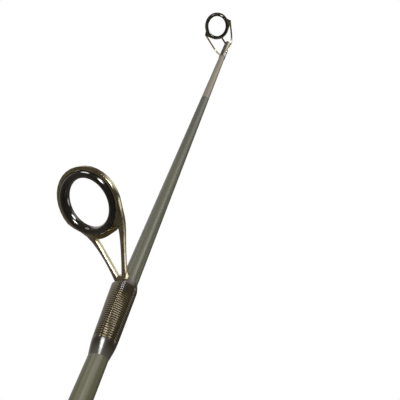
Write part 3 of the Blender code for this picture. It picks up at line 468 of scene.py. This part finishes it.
def foam_finish(colours):
    """Closed-cell foam, ground smooth: cut cells show as small pits, with painted shade in them and paler
    rims.
    """
    sockets = {"Sheen Weight": 0.15}
    material, tree, shader = finish("grip_foam", colours.foam, roughness=0.82, sockets=sockets)
    place = put(tree, "ShaderNodeTexCoord").outputs["Object"]
    cells = put(tree, "ShaderNodeTexVoronoi", {"Vector": place, "Scale": 2300.0}).outputs["Distance"]
    # Painted shade in the cell pits: the colour is darkest at the cells' middles, where the bump sinks, and
    # paler on their rims
    rims = spread(tree, cells, low=0.0, high=1.0, start=0.25, end=0.8)
    feed(tree, shader, "Base Color", blended(tree, rims, colours.foam, toned(colours.foam, 2.2)))
    clouds = figure(tree, "MULTIPLY", grain(tree, scale=60.0), 0.5)
    relief(tree, shader, figure(tree, "ADD", cells, clouds), distance=0.05 * MM, strength=0.8)
    return material


def merged_copy(node):
    """A CAD node's mesh with its loose triangles merged."""
    shape = bmesh.new()
    shape.from_mesh(frame["nodes"][node].data)
    bmesh.ops.remove_doubles(shape, verts=shape.verts, dist=WELD)
    return shape


def dress(shape, node, material, angle=SHARP_ANGLE):
    """Makes a shape the visible piece of a CAD node, on the same body."""
    name = node + "_fine"
    mesh = bpy.data.meshes.new(name)
    shape.to_mesh(mesh)
    shape.free()
    mesh.materials.append(material)
    mesh.shade_smooth()
    mesh.set_sharp_from_angle(angle=math.radians(angle))
    piece = bpy.data.objects.new(name, mesh)
    bpy.context.scene.collection.objects.link(piece)
    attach(piece, frame["nodes"][node]["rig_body"])
    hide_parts(node)
    return piece


def round_edges(shape, width, steps, angle):
    """Rounds the edges that are sharper than an angle."""
    limit = math.radians(angle)
    sharp = [edge for edge in shape.edges if edge.is_manifold and edge.calc_face_angle() > limit]
    bmesh.ops.bevel(shape, geom=sharp, offset=width, offset_type="OFFSET", segments=steps, profile=0.5,
                    affect="EDGES", clamp_overlap=True, material=-1)


def softened(node, width):
    """A CAD node's shape with flat faces made whole and sharp edges rounded."""
    shape = merged_copy(node)
    flat = math.radians(FLAT_ANGLE)
    bmesh.ops.dissolve_limit(shape, angle_limit=flat, verts=shape.verts, edges=shape.edges)
    round_edges(shape, width, EDGE_STEPS, EDGE_ANGLE)
    return shape


def wire_profile(node):
    """The profile that a turned CAD node was spun from, as a wire in the plane below the axis."""
    shape = merged_copy(node)
    off = [v for v in shape.verts if abs(v.co.y) > IN_PLANE or v.co.z > AXIS_Z + IN_PLANE]
    bmesh.ops.delete(shape, geom=off, context="VERTS")
    bmesh.ops.delete(shape, geom=shape.faces[:], context="FACES_ONLY")
    for v in shape.verts:
        v.co.y = 0.0
    return shape


def respun(node, steps, width=0.0):
    """A turned CAD node spun again from its own profile, in finer steps."""
    shape = wire_profile(node)
    bmesh.ops.spin(shape, geom=shape.verts[:] + shape.edges[:], cent=(0.0, 0.0, AXIS_Z),
                   axis=(1.0, 0.0, 0.0), dvec=(0.0, 0.0, 0.0), angle=2.0 * math.pi, steps=steps,
                   use_merge=True, use_normal_flip=False, use_duplicate=False)
    bmesh.ops.remove_doubles(shape, verts=shape.verts, dist=WELD)
    bmesh.ops.recalc_face_normals(shape, faces=shape.faces)
    if width:
        round_edges(shape, width, TURNED_EDGE_STEPS, TURNED_EDGE_ANGLE)
    return shape


def blank_profiles():
    """Places along each bare blank and its outer radii there, from the CAD nodes."""
    profiles = []
    for node in BLANKS:
        outer = {}
        for v in frame["nodes"][node].data.vertices:
            place = round(v.co.x, 5)
            outer[place] = max(outer.get(place, 0.0), AXIS_Z - v.co.z)
        places = sorted(outer)
        profiles.append((places, [outer[place] for place in places]))
    return profiles


def blank_radius(profiles, x):
    """Outer radius of the bare rod at a place along it."""
    return max(float(np.interp(x, places, radii)) for places, radii in profiles
               if places[0] - PROFILE_REACH <= x <= places[-1] + PROFILE_REACH)


def ring_place(node):
    """Centre, axis, bore radius, outer radius and depth of a ceramic ring."""
    points = np.array([v.co for v in frame["nodes"][node].data.vertices])
    centre = (points.min(axis=0) + points.max(axis=0)) / 2.0
    offsets = points - centre
    axis = np.linalg.eigh(offsets.T @ offsets)[1][:, 0]
    along = offsets @ axis
    radial = np.sqrt(np.maximum((offsets ** 2).sum(axis=1) - along ** 2, 0.0))
    return Vector(centre), Vector(axis), radial.min(), radial.max(), 2.0 * np.abs(along).max()


def ceramic_ring(node, sizes):
    """A ceramic ring with a full round section, spun about its own axis."""
    centre, axis, bore, outer, depth = ring_place(node)
    shape = bmesh.new()
    made = bmesh.ops.create_circle(shape, segments=sizes.section_steps, radius=1.0)["verts"]
    bmesh.ops.scale(shape, vec=((outer - bore) / 2.0, depth / 2.0, 1.0), verts=made)
    bmesh.ops.rotate(shape, matrix=Matrix.Rotation(math.pi / 2.0, 3, "X"), verts=made)
    bmesh.ops.translate(shape, vec=((outer + bore) / 2.0, 0.0, 0.0), verts=made)
    bmesh.ops.spin(shape, geom=shape.verts[:] + shape.edges[:], cent=(0.0, 0.0, 0.0), axis=(0.0, 0.0, 1.0),
                   dvec=(0.0, 0.0, 0.0), angle=2.0 * math.pi, steps=sizes.turn_steps, use_merge=True,
                   use_normal_flip=False, use_duplicate=False)
    bmesh.ops.remove_doubles(shape, verts=shape.verts, dist=WELD)
    bmesh.ops.recalc_face_normals(shape, faces=shape.faces)
    place = Matrix.Translation(centre) @ axis.to_track_quat("Z", "Y").to_matrix().to_4x4()
    bmesh.ops.transform(shape, matrix=place, verts=shape.verts)
    return shape


def wrapped(stations, count, radius_at):
    """A closed sleeve round the rod: a grid rolled up, whose radius is given for each place and angle."""
    shape = bmesh.new()
    bmesh.ops.create_grid(shape, x_segments=len(stations) - 1, y_segments=count, size=1.0)
    columns = len(stations) - 1
    for v in shape.verts:
        x = stations[round((v.co.x + 1.0) / 2.0 * columns)]
        angle = v.co.y * math.pi
        radius = radius_at(x, angle)
        v.co = (x, radius * math.sin(angle), AXIS_Z - radius * math.cos(angle))
    bmesh.ops.remove_doubles(shape, verts=shape.verts, dist=0.5 * WELD)
    bmesh.ops.holes_fill(shape, edges=[e for e in shape.edges if e.is_boundary], sides=0)
    bmesh.ops.recalc_face_normals(shape, faces=shape.faces)
    return shape


def bound_table(node, stations):
    """Distances from the axis to the outside of a CAD whipping, with its ribs smoothed away."""
    shape = merged_copy(node)
    tree = BVHTree.FromBMesh(shape)
    shape.free()
    table = np.zeros((len(stations), SLEEVE_STEPS))
    for i, x in enumerate(stations):
        for j in range(SLEEVE_STEPS):
            angle = 2.0 * math.pi * j / SLEEVE_STEPS
            out = Vector((0.0, math.sin(angle), -math.cos(angle)))
            hit = tree.ray_cast(Vector((x, 0.0, AXIS_Z)) + out * MEASURING_REACH, -out)
            table[i, j] = MEASURING_REACH - hit[3] if hit[0] else 0.0
    for _ in range(ALONG_ROUNDS):
        padded = np.vstack((table[:1], table, table[-1:]))
        table = (padded[:-2] + 2.0 * padded[1:-1] + padded[2:]) / 4.0
    for _ in range(AROUND_ROUNDS):
        table = (np.roll(table, 1, 1) + 2.0 * table + np.roll(table, -1, 1)) / 4.0
    return table


def thread_sleeve(node, way, sizes, profiles):
    """Thread in touching turns, whose resin runs out past both ends. The way is +1 where the ring's legs
    stand on the tip side. Also gives two tests of a place: whether it is clear resin, and how far the resin
    has run out there."""
    low, high = (corner.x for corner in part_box(node))
    inner = np.linspace(low + MEASURED_INSET, high - MEASURED_INSET, MEASURED_SECTIONS)
    columns = bound_table(node, inner).T
    rear, front = (sizes.resin_tail, sizes.resin_heel) if way > 0 else (sizes.resin_heel, sizes.resin_tail)
    turns = round((high - low) / sizes.thread_pitch * TURN_STATIONS)
    shares = np.linspace(0.0, 1.0, RESIN_STATIONS)
    before = low - rear * (1.0 - shares[:-1])
    after = high + front * shares[1:]
    stations = [float(x) for x in (*before, *np.linspace(low, high, turns + 1), *after)]
    bare_radii = {x: blank_radius(profiles, x) - RESIN_SINK for x in stations}
    bound_radii = {x: [float(np.interp(x, inner, column)) for column in columns] for x in stations}
    bead_x = high - BEAD_BACK * sizes.bead_width if way > 0 else low + BEAD_BACK * sizes.bead_width

    def bead(x, angle):
        along = (x - bead_x) / sizes.bead_width
        around = (angle - BEAD_ANGLE) / BEAD_TURN
        return math.exp(-along * along - around * around)

    def run_out(x):
        return min(1.0, max((low - x) / rear, (x - high) / front, 0.0))

    def clear(x, angle):
        return not low <= x <= high or bead(x, angle) > BEAD_CLEAR

    def radius_at(x, angle):
        step = round(angle / (2.0 * math.pi) * SLEEVE_STEPS) % SLEEVE_STEPS
        full = bound_radii[x][step] + sizes.resin_depth
        full += sizes.bead_depth * bead(x, angle)
        past = run_out(x)
        if past:
            return bare_radii[x] + (full - bare_radii[x]) * (1.0 - past ** RESIN_FALL)
        ridge = abs(math.sin(math.pi * (x / sizes.thread_pitch + angle / (2.0 * math.pi))))
        inside = min((x - low) / sizes.thread_pitch, (high - x) / sizes.thread_pitch, 1.0)
        open_side = (math.cos(angle - TURN_SIDE) - TURN_FADE[0]) / (TURN_FADE[1] - TURN_FADE[0])
        groove = sizes.turn_depth * inside * max(0.0, min(1.0, open_side))
        return full - groove * (1.0 - ridge)

    return wrapped(stations, SLEEVE_STEPS, radius_at), clear, run_out


def part_finishes(piece, clear, run_out, resin):
    """Gives the faces of clear resin their own finish, which knows how far the resin has run out."""
    piece.data.materials.append(resin)
    vertices = piece.data.vertices
    share = piece.data.attributes.new("run_out", "FLOAT", "POINT")
    for v in vertices:
        share.data[v.index].value = run_out(v.co.x)
    for face in piece.data.polygons:
        corners = [vertices[i].co for i in face.vertices]
        x, y, z = (sum(corner[axis] for corner in corners) / len(corners) for axis in range(3))
        face.material_index = int(clear(x, math.atan2(y, AXIS_Z - z)))


class CARPROD_OT_rings(bpy.types.Operator):
    """Spins the ceramic ring of each line ring with a full round section"""

    bl_idname = "carprod.rings"
    bl_label = "Ceramic rings"

    def execute(self, context):
        scene = context.scene
        material = ceramic_finish(scene.rod_colours)
        for node in RINGS:
            dress(ceramic_ring(node, scene.rod_sizes), node, material)
        return {"FINISHED"}


class CARPROD_OT_frames(bpy.types.Operator):
    """Rounds the edges of the stamped frames and plates them"""

    bl_idname = "carprod.frames"
    bl_label = "Ring frames"

    def execute(self, context):
        scene = context.scene
        material = plating_finish(scene.rod_colours)
        for node in ("tip_frame", "guide_1_frame", "guide_2_frame", "guide_3_frame", "guide_4_frame",
                     "guide_5_frame"):
            dress(softened(node, scene.rod_sizes.edge), node, material, FRAME_SHARP_ANGLE)
        return {"FINISHED"}


class CARPROD_OT_blanks(bpy.types.Operator):
    """Spins the blanks, the glass tip and the tip tube in fine steps, with their satin coats"""

    bl_idname = "carprod.blanks"
    bl_label = "Blanks and tip"

    def execute(self, context):
        scene = context.scene
        colours = scene.rod_colours
        steps = scene.rod_sizes.turn_steps
        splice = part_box("tip_blank")[1].x
        carbon = blank_finish("satin_carbon", colours.blank, colours.blank_butt,
                              (splice - OLIVE_RUN, splice), colours.speck)
        glass = blank_finish("satin_glass", colours.glass_tip, colours.glass_tip,
                             (splice, splice + GLASS_RUN), colours.speck)
        tube = steel_finish("drawn_tube", colours.steel, True)
        for node, material in (("tip_blank", carbon), ("butt_blank", carbon), ("solid_tip", glass),
                               ("tip_tube", tube)):
            dress(respun(node, steps), node, material)
        return {"FINISHED"}


class CARPROD_OT_whippings(bpy.types.Operator):
    """Lays the thread and its clear resin over the feet of the rings and over the joint"""

    bl_idname = "carprod.whippings"
    bl_label = "Whippings"

    def execute(self, context):
        scene = context.scene
        colours = scene.rod_colours
        thread = thread_finish(colours, scene.rod_sizes)
        resin = resin_finish(colours)
        profiles = blank_profiles()
        for node, way in WHIPPINGS:
            shape, clear, run_out = thread_sleeve(node, way, scene.rod_sizes, profiles)
            part_finishes(dress(shape, node, thread, SLEEVE_SHARP_ANGLE), clear, run_out, resin)
        return {"FINISHED"}


class CARPROD_OT_reel_seat(bpy.types.Operator):
    """Finishes the reel seat, its screw, hoods, cushions and nut"""

    bl_idname = "carprod.reel_seat"
    bl_label = "Reel seat"

    def execute(self, context):
        scene = context.scene
        colours = scene.rod_colours
        sizes = scene.rod_sizes
        seat = moulded_finish("moulded_seat", colours.seat, roughness=0.36, scale=1400.0, depth=0.02 * MM)
        dark = steel_finish("dark_steel", colours.dark_steel, False)
        rubber = moulded_finish("cushion_rubber", colours.rubber, roughness=0.7, scale=900.0,
                                depth=0.03 * MM)
        tube = dress(softened("seat_tube", MOULDED_EDGE * sizes.edge), "seat_tube", seat)
        self.screw(tube, sizes, seat)
        for node in ("fixed_hood", "sliding_hood", "lock_nut"):
            dress(softened(node, TURNED_EDGE * sizes.edge), node, dark)
        for node in ("fixed_hood_liner", "sliding_hood_liner"):
            dress(softened(node, MOULDED_EDGE * sizes.edge), node, rubber)
        for node in ("rear_arbor", "front_arbor"):
            dress(respun(node, sizes.turn_steps, sizes.edge), node, rubber)
        return {"FINISHED"}

    def screw(self, tube, sizes, material):
        """The seat's screw thread: a ridged sleeve over the threaded stretch, flat along the bed."""
        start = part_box("lock_nut")[0].x - SCREW_BEFORE_NUT
        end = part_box("seat_tube")[1].x - SCREW_END_GAP
        stations = [start + (end - start) * i / SCREW_STATIONS for i in range(SCREW_STATIONS + 1)]
        flat = AXIS_Z - BED_SINK

        def radius_at(x, angle):
            turn = x / sizes.seat_pitch + angle / (2.0 * math.pi)
            ridge = min(1.0, SCREW_RISE * (1.0 - abs(2.0 * (turn % 1.0) - 1.0)))
            fade = min((x - start) / sizes.seat_pitch, (end - x) / sizes.seat_pitch, 1.0)
            radius = SCREW_RADIUS - SCREW_SINK + (sizes.seat_relief + SCREW_SINK) * ridge * fade
            below = math.cos(angle)
            on_bed = x < BED_END and below > 0.0 and radius * below > flat
            return flat / below if on_bed else radius

        shape = wrapped(stations, SCREW_STEPS, radius_at)
        mesh = bpy.data.meshes.new("seat_screw")
        shape.to_mesh(mesh)
        shape.free()
        mesh.materials.append(material)
        mesh.shade_smooth()
        piece = bpy.data.objects.new("seat_screw", mesh)
        bpy.context.scene.collection.objects.link(piece)
        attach(piece, tube["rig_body"])


class CARPROD_OT_handles(bpy.types.Operator):
    """Finishes the foam grips, their metal trims and the butt cap"""

    bl_idname = "carprod.handles"
    bl_label = "Grips and trims"

    def execute(self, context):
        scene = context.scene
        colours = scene.rod_colours
        sizes = scene.rod_sizes
        foam = foam_finish(colours)
        dark = steel_finish("trim_steel", colours.dark_steel, False)
        rubber = moulded_finish("cap_rubber", colours.rubber, roughness=0.62, scale=700.0, depth=0.05 * MM)
        for node in ("foregrip", "butt_grip"):
            dress(respun(node, sizes.turn_steps, SOFT_EDGE * sizes.edge), node, foam)
        for node in ("winding_check", "butt_collar"):
            dress(respun(node, sizes.turn_steps, TURNED_EDGE * sizes.edge), node, dark)
        dress(respun("butt_cap", sizes.turn_steps, SOFT_EDGE * sizes.edge), "butt_cap", rubber)
        return {"FINISHED"}


class CARPROD_OT_stage(bpy.types.Operator):
    """Sets the camera, the soft lamps, the white room and the floor"""

    bl_idname = "carprod.stage"
    bl_label = "Stage"

    def execute(self, context):
        scene = context.scene
        studio = scene.rod_studio
        scene.view_settings.view_transform = "Standard"
        self.camera(scene)
        self.lamp(scene, "high_softbox", HIGH_WAY, studio.lamp_spread, studio.high_lamp)
        self.lamp(scene, "middle_softbox", MIDDLE_WAY, studio.lamp_spread, studio.middle_lamp)
        self.lamp(scene, "side_softbox", SIDE_WAY, studio.lamp_spread, studio.side_lamp)
        self.lamp(scene, "middle_core", MIDDLE_WAY, studio.core_spread, studio.core_lamp)
        wash = self.lamp(scene, "front_wash", WASH_WAY, studio.wash_spread, studio.wash)
        far = self.lamp(scene, "far_fill", FILL_WAY, studio.fill_spread, studio.fill)
        for matt in (wash, far):
            matt.visible_glossy = False
        self.room(scene, studio)
        self.floor(scene, studio)
        return {"FINISHED"}

    def camera(self, scene):
        """The photograph's camera."""
        data = bpy.data.cameras.new("photograph_camera")
        data.lens = CAMERA_LENS
        data.sensor_width = SENSOR_WIDTH
        data.clip_start = 1.0 * MM
        camera = bpy.data.objects.new("photograph_camera", data)
        camera.location = CAMERA_PLACE
        camera.rotation_euler = CAMERA_TURN
        scene.collection.objects.link(camera)
        scene.camera = camera

    def lamp(self, scene, name, way, spread_angle, strength):
        """A far softbox, which lights the whole rod alike."""
        data = bpy.data.lights.new(name, "SUN")
        data.angle = spread_angle
        data.energy = strength
        lamp = bpy.data.objects.new(name, data)
        lamp.rotation_euler = way.to_track_quat("Z", "Y").to_euler()
        scene.collection.objects.link(lamp)
        return lamp

    def room(self, scene, studio):
        """White to a view, pale reflectors in a dim warm room to gloss, and an even light to the rest."""
        world = bpy.data.worlds.new("white_room")
        scene.world = world
        world.use_nodes = True
        tree = world.node_tree
        way = put(tree, "ShaderNodeTexCoord").outputs["Generated"]

        def toward(pole):
            feeds = {0: way, 1: pole.normalized()}
            return put(tree, "ShaderNodeVectorMath", feeds, operation="DOT_PRODUCT").outputs["Value"]

        lit = 0.0
        for pole, edge, strength in REFLECTORS:
            lit = figure(tree, "MAXIMUM", spread(tree, toward(pole), 0.0, strength, *edge), lit)
        wall = spread(tree, toward(WALL_WAY), studio.wall[0], studio.wall[1], *WALL_EDGE)
        rays = put(tree, "ShaderNodeLightPath").outputs
        seen = figure(tree, "MAXIMUM", rays["Is Camera Ray"], rays["Is Transmission Ray"])
        gloss = figure(tree, "MULTIPLY", rays["Is Glossy Ray"], figure(tree, "MAXIMUM", lit, wall))
        plain = figure(tree, "MAXIMUM", seen, rays["Is Glossy Ray"])
        even = figure(tree, "MULTIPLY", figure(tree, "SUBTRACT", 1.0, plain), studio.ambient)
        strength = figure(tree, "ADD", figure(tree, "MAXIMUM", seen, gloss), even)
        neutral = figure(tree, "MAXIMUM", lit, figure(tree, "SUBTRACT", 1.0, rays["Is Glossy Ray"]))
        capped = figure(tree, "MINIMUM", neutral, 1.0)
        background = tree.nodes["Background"]
        tree.links.new(blended(tree, capped, WALL_TINT, (1.0, 1.0, 1.0)), background.inputs["Color"])
        tree.links.new(strength, background.inputs["Strength"])

    def floor(self, scene, studio):
        """A pale floor that lights nothing and keeps the rod's shadow."""
        shape = bmesh.new()
        bmesh.ops.create_grid(shape, x_segments=1, y_segments=1, size=FLOOR_REACH)
        bmesh.ops.translate(shape, vec=(FLOOR_MIDDLE, 0.0, -studio.floor_drop), verts=shape.verts)
        mesh = bpy.data.meshes.new("floor")
        shape.to_mesh(mesh)
        shape.free()
        glow = {"Emission Color": (1.0, 1.0, 1.0, 1.0), "Emission Strength": studio.floor_glow}
        mesh.materials.append(finish("pale_floor", studio.floor_colour, roughness=0.9, sockets=glow)[0])
        floor = bpy.data.objects.new("floor", mesh)
        floor.visible_shadow = False
        floor.visible_glossy = False
        floor.visible_diffuse = False
        scene.collection.objects.link(floor)


OPERATORS = (
    CARPROD_OT_blanks,
    CARPROD_OT_rings,
    CARPROD_OT_frames,
    CARPROD_OT_whippings,
    CARPROD_OT_reel_seat,
    CARPROD_OT_handles,
    CARPROD_OT_stage,
)


class CARPROD_PT_panel(bpy.types.Panel):
    """Panel in the 3D view's sidebar"""

    bl_idname = "CARPROD_PT_panel"
    bl_label = "Carp rod"
    bl_space_type = "VIEW_3D"
    bl_region_type = "UI"
    bl_category = "Carp rod"

    def draw(self, context):
        layout = self.layout
        for operator in OPERATORS:
            layout.operator(operator.bl_idname)
        for group in (context.scene.rod_sizes, context.scene.rod_colours, context.scene.rod_studio):
            column = layout.column(align=True)
            for name in group.bl_rna.properties.keys():
                if name not in ("rna_type", "name"):
                    column.prop(group, name)


CLASSES = (RodSizes, RodColours, RodStudio, *OPERATORS, CARPROD_PT_panel)


def register():
    for cls in CLASSES:
        bpy.utils.register_class(cls)
    bpy.types.Scene.rod_sizes = PointerProperty(type=RodSizes)
    bpy.types.Scene.rod_colours = PointerProperty(type=RodColours)
    bpy.types.Scene.rod_studio = PointerProperty(type=RodStudio)


def unregister():
    del bpy.types.Scene.rod_studio
    del bpy.types.Scene.rod_colours
    del bpy.types.Scene.rod_sizes
    for cls in reversed(CLASSES):
        bpy.utils.unregister_class(cls)


def main():
    register()
    bpy.ops.carprod.blanks()
    bpy.ops.carprod.rings()
    bpy.ops.carprod.frames()
    bpy.ops.carprod.whippings()
    bpy.ops.carprod.reel_seat()
    bpy.ops.carprod.handles()
    bpy.ops.carprod.stage()


if __name__ == "__main__":
    main()
